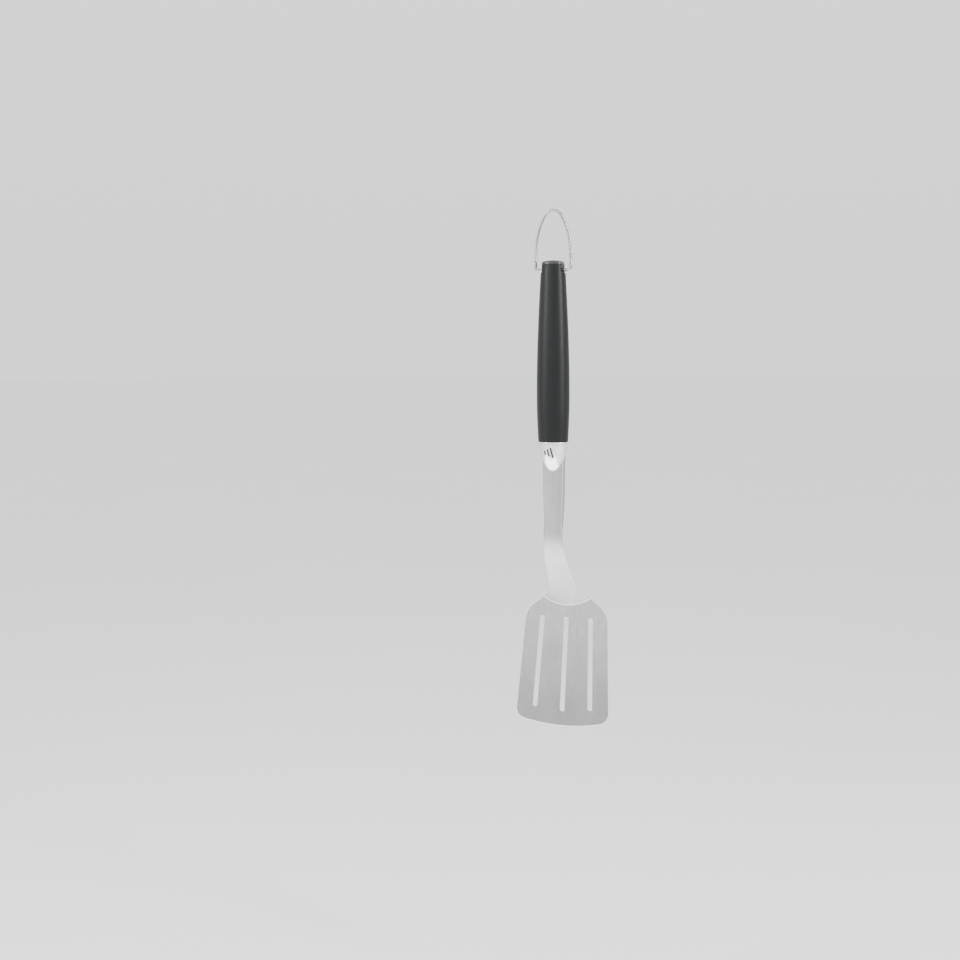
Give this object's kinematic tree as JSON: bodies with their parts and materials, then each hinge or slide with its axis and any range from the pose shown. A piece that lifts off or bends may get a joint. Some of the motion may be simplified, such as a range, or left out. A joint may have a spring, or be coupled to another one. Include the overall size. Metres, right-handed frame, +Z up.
{
  "type": "grill spatula",
  "caption": "Long-handled grill spatula with a slotted, cranked steel blade, a polished bolster, a soft black grip and a swinging wire hanging loop.",
  "frame": {"origin": "inside of the hanging loop's arch, where a hook carries the spatula", "axes": "+Z up along the handle, -Y towards the top face of the blade, X across the blade"},
  "size_m": [0.0949, 0.0615, 0.5038],
  "materials": {
    "blade_sheet": "satin",
    "tang_steel": "mill",
    "bolster_steel": "polished",
    "core_plastic": "matt",
    "grip_rubber": "satin",
    "cap_plastic": "semi-gloss",
    "pin_steel": "turned",
    "wire_steel": "bright drawn"
  },
  "bodies": {
    "tool": {"blade_shank": "blade_sheet", "tang_bar": "tang_steel", "bolster": "bolster_steel", "grip_core": "core_plastic", "grip_sleeve": "grip_rubber", "end_cap": "cap_plastic", "tang_pins": "pin_steel"},
    "hanger": {"bail": "wire_steel"}
  },
  "joints": [
    {"name": "bail_swing", "type": "hinge", "parent": "tool", "child": "hanger", "pos_m": [0, 0, -0.0543], "axis": [1, 0, 0], "range_deg": [-160, 160]}
  ]
}
